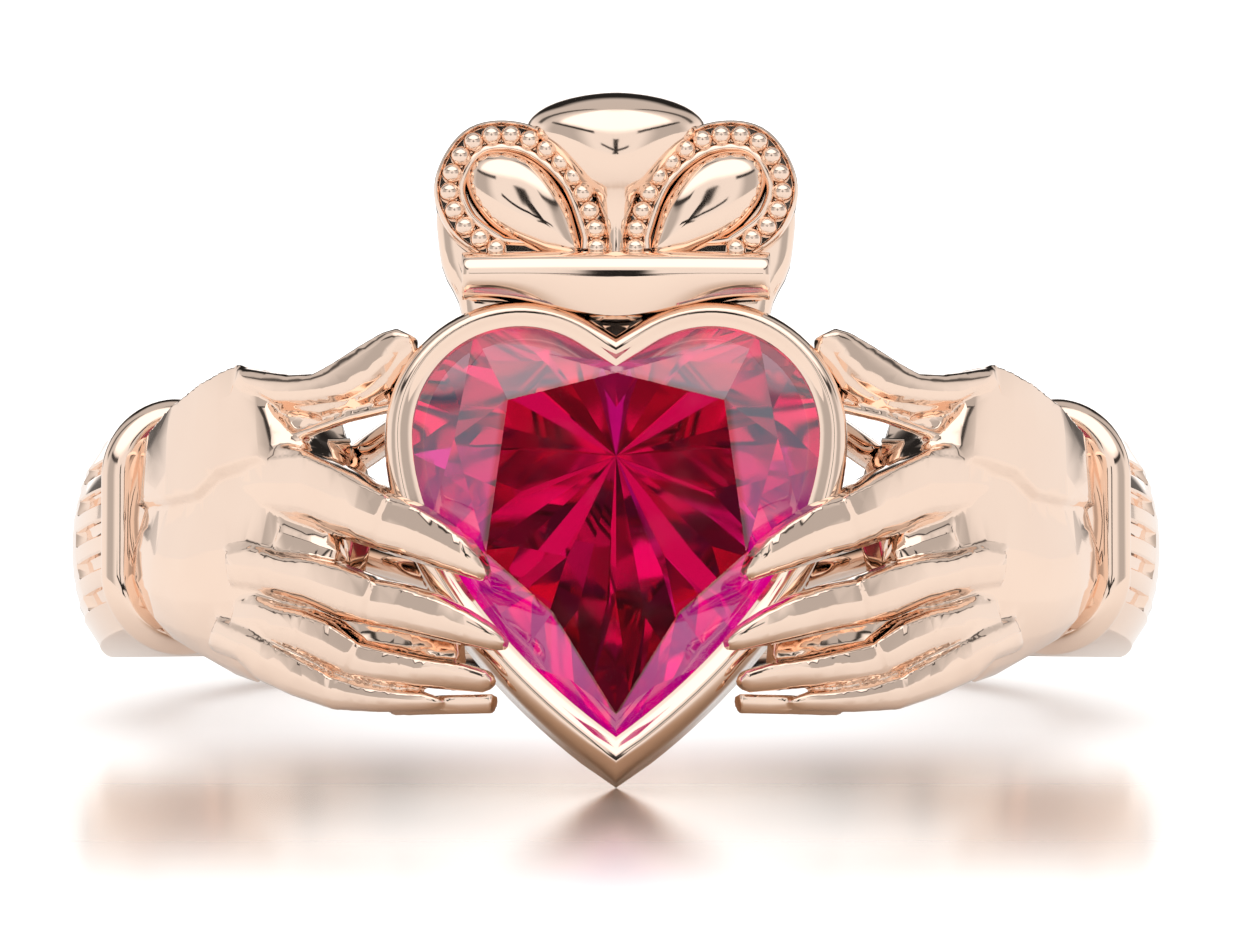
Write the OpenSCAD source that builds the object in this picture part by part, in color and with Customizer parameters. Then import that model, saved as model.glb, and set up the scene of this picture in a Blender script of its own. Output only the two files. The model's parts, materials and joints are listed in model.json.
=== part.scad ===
// Claddagh ring: two cuffed hands hold a crowned, heart-shaped stone.
//
// It lies on its side, as it rests by itself: the tip of the heart and the back of the band touch
// the surface at z = 0, so the finger hole runs up and leans back by lean_angle. The modules draw
// the ring before it leans: X to the right, Y to the back, Z along the finger, the heart facing -Y.

/* [Band] */
// Inside diameter, for a finger of US size 7
finger_d = 17.3; // [16.5:0.1:18.5]
// Wall of the band at the back
band_wall = 1.5; // [1.3:0.1:1.8]
// Height of the band at the back
band_h = 2.6; // [2.4:0.1:3]
// Wall of the band at its shoulders
shoulder_wall = 2.3; // [2.1:0.1:2.5]
// Height of the band at its shoulders
shoulder_h = 3.8; // [3.6:0.1:4]
// Distance in front of the finger's axis at which the band is highest
shoulder_reach = 2.5; // [2:0.1:3]
// Height of the band at its two front ends
end_h = 2.1; // [1.8:0.1:2.4]
// Distance of each front end of the band from the middle
end_x = 5.3; // [5:0.1:5.6]
// Radius of the rounded outer face, seen in section
band_dome_r = 4.5; // [4:0.1:6]
// Width of the flat that the back of the band rests on
foot_w = 7; // [5:0.5:8]

/* [Cuffs] */
// Angle of each rolled collar from the front of the ring
collar_angle = 65; // [63:0.5:67]
// Distance from the finger hole to the middle of a collar
collar_reach = 1.25; // [1.1:0.05:1.4]
// Thickness of the rolled wire
collar_wire = 0.8; // [0.7:0.05:0.9]
// Height of a collar over its roll
collar_h = 5.3; // [5.1:0.1:5.5]
// Width of a collar over its roll
collar_w = 3.4; // [3.2:0.1:3.6]
// Wall of the fluted sleeve
sleeve_wall = 2.74; // [2.6:0.02:2.9]
// Height of the fluted sleeve
sleeve_h = 4.2; // [4.1:0.05:4.4]
// Radius of the sleeve's rounded face, seen in section
sleeve_dome_r = 4.2; // [3.8:0.1:6]
// Chamfer along the sleeve's two edges
sleeve_chamfer = 0.14; // [0.08:0.02:0.2]
// Angle from the front at which the sleeve ends
sleeve_end_angle = 97; // [92:1:104]
// Angle from the front at which the flutes end
flute_end_angle = 83; // [78:1:86]
// Number of flutes in each sleeve
flute_count = 5; // [4:1:5]
// Distance from flute to flute
flute_pitch = 0.69; // [0.6:0.01:0.75]
// Width of a flute
flute_w = 0.3; // [0.2:0.02:0.4]
// Depth of a flute
flute_depth = 0.35; // [0.2:0.05:0.5]

/* [Heart] */
// Distance from the finger hole to the face of the heart's rim
head_depth = 4.35; // [4.2:0.05:4.6]
// Width of the stone inside its rim
heart_w = 8; // [7.8:0.05:8.2]
// Drop from the widest line of the heart to the inner tip
heart_drop = 5.97; // [5.7:0.01:6.2]
// Rise from the widest line of the heart to the inner cleft
cleft_rise = 1.33; // [1.2:0.01:1.5]
// Radius of the two lobes
lobe_r = 2.13; // [2:0.01:2.2]
// Height of the heart's widest line above the middle of the ring
heart_z = 0.75; // [0.5:0.05:0.9]
// Width of the rim on the lobes
rim_w = 0.55; // [0.45:0.01:0.65]
// Width of the rim at the tip
tip_rim_w = 0.68; // [0.55:0.01:0.75]
// Depth of the heart's wall
bezel_d = 2.3; // [2:0.1:2.6]
// Rounding of the rim
rim_round = 0.24; // [0.15:0.01:0.28]
// Thickness of the gallery bars
bar_t = 0.6; // [0.5:0.05:0.7]

/* [Stone] */
// How far the stone's girdle reaches under the rim
seat_lap = 0.12; // [0.08:0.01:0.15]
// Depth of the girdle behind the rim's face
girdle_depth = 0.45; // [0.4:0.01:0.6]
// Thickness of the girdle
girdle_t = 0.1; // [0.06:0.01:0.15]
// Height of the stone's crown above the girdle
stone_crown = 0.9; // [0.7:0.05:1.1]
// Depth of the stone's pavilion below the girdle
stone_pavilion = 3.2; // [2.9:0.05:3.3]
// Gap between the stone and the metal
stone_gap = 0.05; // [0.03:0.01:0.08]

/* [Crown] */
// Half of the crown's width over its petals
crown_half_w = 3.52; // [3.3:0.02:3.7]
// Height of the crown's foot above the heart's widest line
crown_rise = 3.61; // [3.5:0.01:3.7]
// Height of the middle petal above the crown's foot
crown_h = 3.22; // [3:0.02:3.5]
// Thickness of the crown's plate
crown_t = 1.5; // [1.2:0.1:1.8]
// Width of the border that carries the beads, outside their middles
bead_border = 0.27; // [0.22:0.01:0.3]
// Width of the border inside the beads' middles
inner_border = 0.15; // [0.1:0.01:0.2]
// Depth of the recess round each side dome
recess_depth = 0.18; // [0.1:0.02:0.3]
// Half of the bar's length
crown_bar_half = 3.03; // [2.9:0.01:3.1]
// Height of the bar
crown_bar_h = 0.56; // [0.5:0.02:0.62]
// How far the bar stands out
crown_bar_d = 0.3; // [0.2:0.02:0.4]
// Drop of the skirt under the middle of the bar
skirt_drop = 0.6; // [0.5:0.05:0.7]
// Number of beads round each side petal
bead_count = 18; // [14:1:20]
// Diameter of a bead
bead_d = 0.38; // [0.3:0.01:0.4]
// How far the side domes stand out
petal_dome_h = 0.55; // [0.3:0.05:0.7]
// How far the middle dome stands out
centre_dome_h = 0.95; // [0.7:0.05:1.1]

/* [Hands] */
// Height over a hand, from the tip of the thumb to the little finger
hand_h = 7.7; // [7.5:0.05:7.9]
// Thickness of a hand at the knuckles
hand_t = 3; // [2.8:0.05:3.2]
// How far the back of the wrist lies inside its collar's outer line
wrist_inset = 0.06; // [0.02:0.02:0.2]
// Distance of the fingertips from the middle of the ring
fingertip_x = 2.1; // [2:0.05:2.3]
// How far the fingertips stand in front of the rim
fingertip_lift = 0.95; // [0.85:0.05:1.05]
// Where the hand's sweep turns, to the side
sweep_x = 8.3; // [8.1:0.05:8.5]
// Where the hand's sweep turns, behind the face of the heart's rim
sweep_back = 1.8; // [1.6:0.05:2]

/* [Hidden] */
$fn = 64;
MESH_SIDES = 10;
finger_r = finger_d / 2;
gold = [0.88, 0.66, 0.53];
ruby = [0.78, 0.04, 0.25, 0.85];

head_reach = finger_r + head_depth;
collar_r = finger_r + collar_reach;
crown_z = heart_z + crown_rise;

// The band's outer face is a barrel that is centred towards the front, so that its wall grows from
// the back to the shoulders.
barrel_r = finger_r + shoulder_wall;
barrel_shift = shoulder_wall - band_wall;
end_taper = 0.6;
end_y = -sqrt(pow(finger_r, 2) - pow(end_x, 2)) - end_taper;

// Steps of half the heart's outline: round the lobe, then down the side, whose curve has four
// control points as shares of half the heart's width and of its drop
LOBE_STEPS = 12;
SIDE_STEPS = 10;
HALF_STEPS = LOBE_STEPS + SIDE_STEPS + 1;
SIDE_CURVE = [[1, 0], [1, -0.343], [0.575, -0.72], [0, -1]];

function lerp(a, b, t) = a + (b - a) * t;
function unit(v) = v / norm(v);

// Point on a spline that runs through every point of a list, u from 0 to 1
function through(points, u) =
    let (last = len(points) - 1, s = min(u * last, last - 0.0001), i = floor(s), t = s - i)
    let (a = points[max(i - 1, 0)], b = points[i], c = points[i + 1], d = points[min(i + 2, last)])
    0.5 * (2 * b + (c - a) * t + (2 * a - 5 * b + 4 * c - d) * t * t
        + (3 * b - a - 3 * c + d) * t * t * t);

// Closed solid through equal rings; seen from the last ring, the points of a ring run anticlockwise
module loft(rings) {
    n = len(rings[0]);
    m = len(rings);
    sides = [for (i = [0:m - 2], j = [0:n - 1])
        let (k = (j + 1) % n, a = i * n, b = a + n)
        each [[a + j, b + j, b + k], [a + j, b + k, a + k]]];
    first_cap = [for (j = [0:n - 1]) j];
    last_cap = [for (j = [n - 1:-1:0]) (m - 1) * n + j];
    polyhedron([for (ring = rings) each ring], concat(sides, [first_cap, last_cap]), 10);
}

// Plate with its front face at a distance from the finger's axis
module plate(points, front, depth) {
    translate([0, depth - front, 0]) rotate([90, 0, 0]) linear_extrude(depth) polygon(points);
}

// Rounded boss over an outline: each step is a share of the outline and a share of the height
BOSS_STEPS = [[1, 0], [0.93, 0.42], [0.74, 0.76], [0.42, 0.96]];
module boss(outline, middle, front, height, root) {
    foot = [for (p = outline) [p.x, root - front, p.y]];
    rise = [for (step = BOSS_STEPS)
        [for (p = outline)
            let (q = lerp(middle, p, step[0]))
            [q.x, -front - height * step[1], q.y]]];
    loft(concat([foot], rise));
}

module both_sides() {
    children();
    mirror([1, 0, 0]) children();
}

// Turn about the finger's axis so that X points at an angle from the front, on the right
module at_angle(angle) {
    rotate([0, 0, angle - 90]) children();
}

// Right half of the heart's inner outline, from the cleft to the tip: a straight line that meets
// the lobe, the lobe's arc and the side's curve
function heart_half() =
    let (half = heart_w / 2, lobe_x = half - lobe_r, reach = norm([lobe_x, cleft_rise]))
    let (first = 180 - atan2(cleft_rise, lobe_x) - acos(min(1, lobe_r / reach)))
    let (c = [for (p = SIDE_CURVE) [p.x * half, p.y * heart_drop]])
    concat(
        [[0, cleft_rise]],
        [for (i = [0:LOBE_STEPS])
            let (a = first * (1 - i / LOBE_STEPS))
            [lobe_x + lobe_r * cos(a), lobe_r * sin(a)]],
        [for (i = [1:SIDE_STEPS])
            let (t = i / SIDE_STEPS, s = 1 - t)
            s * s * s * c[0] + 3 * s * s * t * c[1] + 3 * s * t * t * c[2] + t * t * t * c[3]]);

function half_normal(points, i) =
    let (before = i == 0 ? [-points[1].x, points[1].y] : points[i - 1])
    let (after = i == len(points) - 1 ? [-points[i - 1].x, points[i - 1].y] : points[i + 1])
    let (u = unit(points[i] - before), v = unit(after - points[i]), n = unit([-u.y - v.y, u.x + v.x]))
    n / max(0.3, n * [-u.y, u.x]);

// Whole outline, anticlockwise from the cleft down the left side and up the right; grow is the
// offset outwards on the lobes and tip_grow the offset at the tip
function heart(grow, tip_grow) =
    let (half = heart_half(), last = len(half) - 1)
    let (right = [for (i = [0:last])
        let (down = max(0, -half[i].y / heart_drop))
        half[i] + half_normal(half, i) * lerp(grow, tip_grow, down)])
    [for (p = concat([for (i = [0:last]) [-right[i].x, right[i].y]],
        [for (i = [last - 1:-1:1]) right[i]])) [p.x, p.y + heart_z]];

// Band seen from the side: it is highest at the shoulders and tapers to the back and the front ends
module band_blank() {
    half = [[end_h / 2, -2 * barrel_r], [end_h / 2, end_y], [shoulder_h / 2, -shoulder_reach],
        [band_h / 2, finger_r + band_wall], [band_h / 2, 2 * barrel_r]];
    wedge = concat([for (p = half) [-p.x, p.y]], [for (i = [len(half) - 1:-1:0]) half[i]]);
    difference() {
        intersection() {
            translate([0, -barrel_shift, 0]) rotate_extrude($fn = 96) intersection() {
                translate([barrel_r - band_dome_r, 0]) circle(band_dome_r);
                translate([finger_r / 2, -shoulder_h]) square([barrel_r, 2 * shoulder_h]);
            }
            translate([2 * barrel_r, 0, 0]) rotate([0, -90, 0]) linear_extrude(4 * barrel_r)
                polygon(wedge);
        }
        translate([-end_x, -2 * barrel_r, -shoulder_h]) cube([2 * end_x, 2 * barrel_r, 2 * shoulder_h]);
    }
}

module sleeve() {
    sleeve_r = finger_r + sleeve_wall;
    edge_r = sleeve_r - sleeve_dome_r + sqrt(pow(sleeve_dome_r, 2) - pow(sleeve_h / 2, 2));
    inside_r = finger_r - 0.5;
    half = [[inside_r, sleeve_h / 2], [edge_r - sleeve_chamfer, sleeve_h / 2],
        [sleeve_r, sleeve_h / 2 - sleeve_chamfer]];
    outline = concat([for (p = half) [p.x, -p.y]], [for (i = [len(half) - 1:-1:0]) half[i]]);
    at_angle(collar_angle) difference() {
        rotate_extrude(angle = sleeve_end_angle - collar_angle, $fn = 96) intersection() {
            translate([sleeve_r - sleeve_dome_r, 0]) circle(sleeve_dome_r);
            polygon(outline);
        }
        for (i = [0:flute_count - 1]) {
            z = (i - (flute_count - 1) / 2) * flute_pitch;
            floor_r = sleeve_r - flute_depth - sleeve_dome_r + sqrt(pow(sleeve_dome_r, 2) - z * z);
            rotate([0, 0, -1]) rotate_extrude(angle = flute_end_angle - collar_angle + 1, $fn = 96)
                translate([floor_r, z - flute_w / 2]) square([1, flute_w]);
        }
    }
}

// Rolled wire round the wrist: two half turns joined by straight lengths
module collar() {
    turn_r = (collar_w - collar_wire) / 2;
    straight = collar_h / 2 - collar_wire / 2 - turn_r;
    at_angle(collar_angle) translate([collar_r, 0, 0]) {
        for (way = [0, 1])
            mirror([0, 0, way]) translate([0, 0, straight]) rotate([90, 0, 0])
                rotate_extrude(angle = 180, $fn = 48) translate([turn_r, 0])
                    circle(collar_wire / 2, $fn = 32);
        for (side = [-1, 1])
            translate([side * turn_r, 0, -straight]) cylinder(h = 2 * straight, d = collar_wire, $fn = 32);
    }
}

// Bars from the band's front ends to the heart's wall: height at the band as a share of the band's
// end, then place and height at the heart as shares of half its width and of its drop
BARS = [[0.36, 1.06, 0.06], [-0.36, 0.89, -0.44]];
module gallery_bars() {
    start = [end_x + 0.65 * bar_t, end_y + end_taper];
    wall_y = bezel_d - bar_t - head_reach;
    for (bar = BARS) {
        from = [start.x, start.y, bar[0] * end_h];
        run = [bar[1] * heart_w / 2, wall_y, heart_z + bar[2] * heart_drop] - from;
        translate(from) rotate([0, 0, atan2(run.y, run.x)]) rotate([0, acos(run.z / norm(run)), 0])
            cylinder(h = norm(run), d = bar_t, $fn = 24);
    }
}

// Section of the heart's wall: share of the rim's width, share of the rounding, share of the depth
RIM_SECTION = [[0, 1, 0], [0.12, 0.3, 0], [0.38, 0, 0], [0.66, 0, 0], [0.9, 0.35, 0], [1, 1, 0],
    [1, 0, 1], [0, 0, 1]];
module heart_wall() {
    rings = [for (s = RIM_SECTION)
        let (y = -head_reach + s[1] * rim_round + s[2] * bezel_d)
        [for (p = heart(s[0] * rim_w, s[0] * tip_rim_w)) [p.x, y, p.y]]];
    n = len(rings[0]);
    m = len(rings);
    faces = [for (i = [0:m - 1], j = [0:n - 1])
        let (k = (j + 1) % n, a = i * n, b = ((i + 1) % m) * n)
        each [[a + j, b + k, b + j], [a + j, a + k, b + k]]];
    polyhedron([for (ring = rings) each ring], faces, 10);
}

// Stone: table corners as shares of half the heart's width and of its drop, and the outline step
// that each one faces
TABLE = [[0, 0.19, 0], [0.53, 0.1, 6], [0.635, -0.405, 15], [0.31, -0.6, 19], [0, -0.935, HALF_STEPS]];
// Where the facets meet between girdle and table, and between girdle and culet: share of the way
// inwards, share of the way up or down
CROWN_MEET = [0.5, 0.62];
PAVILION_MEET = [0.42, 0.52];
module faceted_heart(gap) {
    outline = heart(seat_lap + gap, seat_lap + gap);
    n = len(outline);
    last = len(TABLE) - 1;
    left = [for (row = TABLE) [-row[0] * heart_w / 2, heart_z + row[1] * heart_drop, row[2]]];
    right = [for (i = [last - 1:-1:1]) [-left[i][0], left[i][1], n - left[i][2]]];
    corners = concat(left, right);
    c = len(corners);
    girdle_y = girdle_depth - head_reach;
    table_y = girdle_y - stone_crown - gap;
    culet = [0, girdle_y + girdle_t + stone_pavilion + gap, heart_z];
    table = [for (p = corners) [p[0], table_y, p[1]]];
    middle_step = [for (i = [0:c - 1])
        let (next = i == c - 1 ? n : corners[i + 1][2])
        floor((corners[i][2] + next) / 2)];
    crown_mid = [for (i = [0:c - 1])
        let (rim = outline[middle_step[i]], inner = (table[i] + table[(i + 1) % c]) / 2)
        [lerp(rim.x, inner.x, CROWN_MEET[0]), lerp(girdle_y - gap, table_y, CROWN_MEET[1]),
            lerp(rim.y, inner.z, CROWN_MEET[0])]];
    pavilion_mid = [for (i = [0:c - 1])
        let (rim = outline[middle_step[i]])
        [lerp(rim.x, culet.x, PAVILION_MEET[0]), lerp(girdle_y + girdle_t + gap, culet.y, PAVILION_MEET[1]),
            lerp(rim.y, culet.z, PAVILION_MEET[0])]];
    front_edge = [for (p = outline) [p.x, girdle_y - gap, p.y]];
    back_edge = [for (p = outline) [p.x, girdle_y + girdle_t + gap, p.y]];
    mid0 = c;
    edge0 = 2 * c;
    back0 = edge0 + n;
    low0 = back0 + n;
    tip = low0 + c;
    sectors = [for (i = [0:c - 1])
        let (j = (i + 1) % c, a = corners[i][2], b = j == 0 ? n : corners[j][2])
        let (low = low0 + i, next_low = low0 + j, mid = mid0 + i)
        each concat(
            [[i, j, mid], [i, mid, edge0 + a % n], [j, edge0 + b % n, mid]],
            [for (s = [a:b - 1]) [mid, edge0 + (s + 1) % n, edge0 + s % n]],
            [for (s = [a:b - 1]) [low, back0 + s % n, back0 + (s + 1) % n]],
            [[low, back0 + b % n, next_low], [low, next_low, tip]])];
    band = [for (s = [0:n - 1])
        let (k = (s + 1) % n)
        each [[edge0 + s, edge0 + k, back0 + k], [edge0 + s, back0 + k, back0 + s]]];
    table_face = [for (i = [c - 1:-1:0]) i];
    polyhedron(concat(table, crown_mid, front_edge, back_edge, pavilion_mid, [culet]),
        concat([table_face], sectors, band), 10);
}

// Side petal: the line of its beads and the outline of its dome, as shares of half the crown's
// width and of its height, from the foot of the crown
BEAD_LINE = [[0.67, 0.012], [0.866, 0.183], [0.93, 0.432], [0.781, 0.69], [0.497, 0.696], [0.241, 0.472],
    [0.119, 0.152], [0.108, 0.012]];
DOME_LINE = [[0.203, 0.015], [0.375, 0.015], [0.531, 0.075], [0.705, 0.196], [0.8, 0.34], [0.821, 0.42],
    [0.75, 0.54], [0.659, 0.6], [0.52, 0.572], [0.375, 0.435], [0.267, 0.248]];
// Middle petal, right half, from the top to the stem
CENTRE_LINE = [[0, 1], [0.17, 0.985], [0.34, 0.91], [0.47, 0.84], [0.503, 0.79], [0.423, 0.753],
    [0.267, 0.61], [0.173, 0.512], [0.085, 0.41], [0.03, 0.22], [0.02, 0]];
function crown_point(share) = [share.x * crown_half_w, crown_z + share.y * crown_h];
PETAL_STEPS = 22;
function petal_edge(offset_w) =
    [for (i = [0:PETAL_STEPS])
        let (line = [for (s = BEAD_LINE) crown_point(s)], u = i / PETAL_STEPS)
        let (p = through(line, u), q = through(line, min(1, u + 0.02)), r = through(line, max(0, u - 0.02)))
        let (along = unit(q - r))
        [p.x + along.y * offset_w, max(crown_z - 0.1, p.y - along.x * offset_w)]];

module side_petal() {
    outer = petal_edge(bead_border);
    recess = petal_edge(-inner_border);
    dome = [for (s = DOME_LINE) crown_point(s)];
    difference() {
        plate(outer, head_reach, crown_t);
        plate(recess, head_reach + 1, 1 + recess_depth);
    }
    boss(dome, crown_point([0.5, 0.33]), head_reach - 0.25, petal_dome_h, 0.5);
    line = [for (s = BEAD_LINE) crown_point(s)];
    for (i = [0:bead_count - 1]) {
        p = through(line, (i + 0.1) / (bead_count - 0.8));
        translate([p.x, -head_reach, p.y]) sphere(d = bead_d, $fn = MESH_SIDES);
    }
}

module centre_petal() {
    half = [for (s = CENTRE_LINE) crown_point(s)];
    inner = [for (i = [len(half) - 1:-1:1]) half[i]];
    outline = concat([for (p = half) [-p.x, p.y]], inner);
    boss(outline, crown_point([0, 0.68]), head_reach - 0.1, centre_dome_h, crown_t - 0.15);
}

// Bar under the petals, a skirt whose lower edge follows the lobes of the heart, and a plate that
// backs them both; the plate's right half is in shares of half the crown's width and of its height
BACK_LINE = [[0.74, -0.52], [0.957, -0.08], [1, 0.25], [0.057, 0.53]];
SKIRT_STEPS = 12;
module crown_bar() {
    bottom = crown_z - crown_bar_h;
    roll = [for (a = [0:20:340]) [crown_bar_h / 2 * sin(a), crown_bar_d * cos(a)]];
    loft([for (x = [-crown_bar_half, crown_bar_half])
        [for (p = roll) [x, -head_reach - p.y, crown_z - crown_bar_h / 2 - p.x]]]);
    skirt_half = crown_bar_half - 0.1;
    lower_edge = [for (i = [0:SKIRT_STEPS])
        let (s = 2 * i / SKIRT_STEPS - 1)
        [s * skirt_half, bottom - skirt_drop * lerp(0.33, 1, (1 + cos(180 * s)) / 2)]];
    skirt = concat([[skirt_half, bottom + 0.2], [-skirt_half, bottom + 0.2]], lower_edge);
    plate(skirt, head_reach - 0.06, crown_t - 0.3);
    half = [for (s = BACK_LINE) crown_point(s)];
    back = concat(half, [for (i = [len(half) - 1:-1:0]) [-half[i].x, half[i].y]]);
    plate(back, head_reach - 0.6, crown_t - 0.4);
}

module crown() {
    both_sides() side_petal();
    centre_petal();
    crown_bar();
}

// Plan of a hand's back: a curve from the wrist to the fingertips, u from 0 to 1
function sweep(u) =
    let (wrist = -(collar_r + collar_w / 2 - wrist_inset) * [sin(collar_angle), cos(collar_angle)])
    let (turn = [-sweep_x, sweep_back - head_reach], tip = [-fingertip_x, -head_reach - fingertip_lift])
    let (s = 1 - u)
    s * s * wrist + 2 * s * u * turn + u * u * tip;
function outward(u) =
    let (along = unit(sweep(u + 0.01) - sweep(u - 0.01)))
    [along.y, -along.x];

// Sections of a hand: place along the sweep, middle height and half height as shares of the hand's
// height, thickness and lift as shares of the hand's thickness
PALM = [[0.02, -0.01, 0.236, 0.77, 0], [0.127, -0.022, 0.262, 0.83, 0], [0.22, -0.042, 0.284, 0.9, 0],
    [0.32, -0.062, 0.315, 0.97, 0], [0.415, -0.058, 0.325, 1.03, 0], [0.5, -0.113, 0.35, 1.1, 0],
    [0.55, -0.188, 0.318, 1, 0], [0.604, -0.218, 0.3, 0.8, 0], [0.66, -0.227, 0.247, 0.55, -0.05]];
THUMB = [[0.3, 0.105, 0.07, 0.5, 0], [0.36, 0.14, 0.085, 0.5, 0], [0.415, 0.208, 0.08, 0.5, 0],
    [0.477, 0.245, 0.081, 0.5, 0], [0.535, 0.247, 0.068, 0.47, 0], [0.603, 0.235, 0.057, 0.43, 0],
    [0.667, 0.238, 0.06, 0.42, 0], [0.727, 0.257, 0.068, 0.4, 0], [0.778, 0.288, 0.075, 0.38, -0.02],
    [0.825, 0.326, 0.058, 0.34, -0.05], [0.865, 0.333, 0.035, 0.28, -0.09]];
INDEX = [[0.5, 0.01, 0.065, 0.5, 0], [0.536, -0.005, 0.078, 0.5, 0.05], [0.578, -0.016, 0.09, 0.5, 0.09],
    [0.686, -0.062, 0.088, 0.48, 0.18], [0.779, -0.125, 0.074, 0.44, 0.3], [0.854, -0.165, 0.077, 0.4, 0.27],
    [0.91, -0.208, 0.067, 0.34, 0.2], [0.95, -0.243, 0.05, 0.27, 0.13], [0.972, -0.263, 0.036, 0.2, 0.08]];
MIDDLE = [[0.494, -0.192, 0.055, 0.47, 0.03], [0.579, -0.238, 0.064, 0.47, 0.07],
    [0.705, -0.297, 0.078, 0.44, 0.12], [0.774, -0.331, 0.067, 0.4, 0.15], [0.838, -0.362, 0.068, 0.38, 0.17],
    [0.89, -0.383, 0.061, 0.34, 0.17], [0.939, -0.412, 0.048, 0.3, 0.12], [0.978, -0.438, 0.035, 0.23, 0.05],
    [1, -0.452, 0.022, 0.16, 0]];
RING = [[0.538, -0.347, 0.06, 0.43, 0.03], [0.625, -0.388, 0.064, 0.42, 0.05],
    [0.687, -0.432, 0.062, 0.4, 0.03], [0.757, -0.484, 0.052, 0.38, 0], [0.839, -0.506, 0.048, 0.36, -0.03],
    [0.9, -0.523, 0.042, 0.34, -0.08], [0.949, -0.53, 0.04, 0.3, -0.13], [0.985, -0.536, 0.033, 0.24, -0.17]];
LITTLE = [[0.465, -0.37, 0.05, 0.4, 0], [0.524, -0.425, 0.062, 0.4, 0.02],
    [0.606, -0.487, 0.055, 0.38, 0], [0.688, -0.545, 0.048, 0.35, -0.03],
    [0.785, -0.573, 0.036, 0.3, -0.07], [0.865, -0.584, 0.031, 0.24, -0.1],
    [0.895, -0.588, 0.02, 0.16, -0.12]];
LEDGE = [[0.66, -0.55, 0.03, 0.2, -0.15], [0.785, -0.585, 0.028, 0.22, -0.2],
    [0.978, -0.597, 0.028, 0.22, -0.33]];

// A digit or the palm, lofted through its sections; square is 1 for an oval and less for a boxier form
module hand_loft(sections, sides, square) {
    loft([for (row = sections)
        let (at = sweep(row[0]), out = outward(row[0]), half = row[3] * hand_t / 2)
        [for (i = [0:sides - 1])
            let (a = -360 * i / sides, c = cos(a), s = sin(a))
            let (n = row[4] * hand_t - half + half * sign(c) * pow(abs(c), square))
            let (z = row[1] * hand_h + row[2] * hand_h * sign(s) * pow(abs(s), square))
            [at.x + out.x * n, at.y + out.y * n, z]]]);
}

module hand() {
    hand_loft(PALM, 14, 0.75);
    for (digit = [THUMB, INDEX, MIDDLE, RING, LITTLE])
        hand_loft(digit, MESH_SIDES, 0.85);
    hand_loft(LEDGE, 4, 0.85);
}

// Everything in front of the band
module head() {
    difference() {
        union() {
            both_sides() hand();
            heart_wall();
            crown();
        }
        faceted_heart(stone_gap);
    }
}

// The lean brings the back edge of the heart's tip and the band's lower back edge to one level.
tip_z = min([for (p = heart(rim_w, tip_rim_w)) p.y]);
tip_y = bezel_d - head_reach;
edge_y = finger_r + band_wall - band_dome_r + sqrt(pow(band_dome_r, 2) - pow(band_h / 2, 2));
lean_angle = atan((-band_h / 2 - tip_z) / (edge_y - tip_y));
// Material that is taken off below the flat foot, and as much again at the tip
foot_cut = sin(lean_angle) * (edge_y - sqrt(pow(edge_y, 2) - pow(foot_w / 2, 2)));
lift = tip_y * sin(lean_angle) - tip_z * cos(lean_angle) - foot_cut / 2;
// The middle of the whole ring, from its fingertips to the back of its band
front_y = MIDDLE[len(MIDDLE) - 1][1] * hand_h * sin(lean_angle)
    - (head_reach + fingertip_lift) * cos(lean_angle);
back_y = (finger_r + band_wall - band_dome_r) * cos(lean_angle) + band_dome_r;

// Leans the ring back onto its foot and the tip of the heart, over the middle of the surface
module resting() {
    translate([0, -(front_y + back_y) / 2, lift]) rotate([-lean_angle, 0, 0]) children();
}

module ring_body() {
    color(gold) difference() {
        resting() difference() {
            union() {
                band_blank();
                both_sides() {
                    sleeve();
                    collar();
                    gallery_bars();
                }
                head();
            }
            cylinder(h = 4 * shoulder_h, r = finger_r, center = true, $fn = 128);
        }
        translate([-finger_d, -finger_d, -2]) cube([2 * finger_d, 2 * finger_d, 2]);
    }
}

module heart_stone() {
    color(ruby) resting() faceted_heart(0);
}

ring_body();
heart_stone();
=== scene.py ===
"""Claddagh ring: rose gold, with a heart-shaped red stone that two cuffed hands hold under a crown.

All shapes are worked out in millimetres in the ring's own frame: X to the right, Y to the back,
Z along the finger, the heart facing -Y. PLACE takes them to the row frame, where the ring leans
back onto the tip of its heart and the back of its band.
"""

import json
import math
from collections import Counter

import bmesh
import bpy
import numpy as np
from mathutils import Matrix, Vector

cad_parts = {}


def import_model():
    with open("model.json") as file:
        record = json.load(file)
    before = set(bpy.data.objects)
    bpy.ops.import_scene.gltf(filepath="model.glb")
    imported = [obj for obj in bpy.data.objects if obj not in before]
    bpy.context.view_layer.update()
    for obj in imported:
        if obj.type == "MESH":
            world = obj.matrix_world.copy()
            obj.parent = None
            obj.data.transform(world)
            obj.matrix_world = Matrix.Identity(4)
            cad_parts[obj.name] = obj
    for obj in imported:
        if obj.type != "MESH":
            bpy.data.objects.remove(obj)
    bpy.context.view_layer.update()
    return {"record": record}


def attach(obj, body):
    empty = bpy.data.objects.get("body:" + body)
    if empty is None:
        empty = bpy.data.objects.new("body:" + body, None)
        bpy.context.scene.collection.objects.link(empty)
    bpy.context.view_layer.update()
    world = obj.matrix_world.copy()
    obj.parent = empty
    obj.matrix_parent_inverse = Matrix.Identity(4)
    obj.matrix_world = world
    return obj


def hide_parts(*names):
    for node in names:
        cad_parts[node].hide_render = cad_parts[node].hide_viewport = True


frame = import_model()

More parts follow.
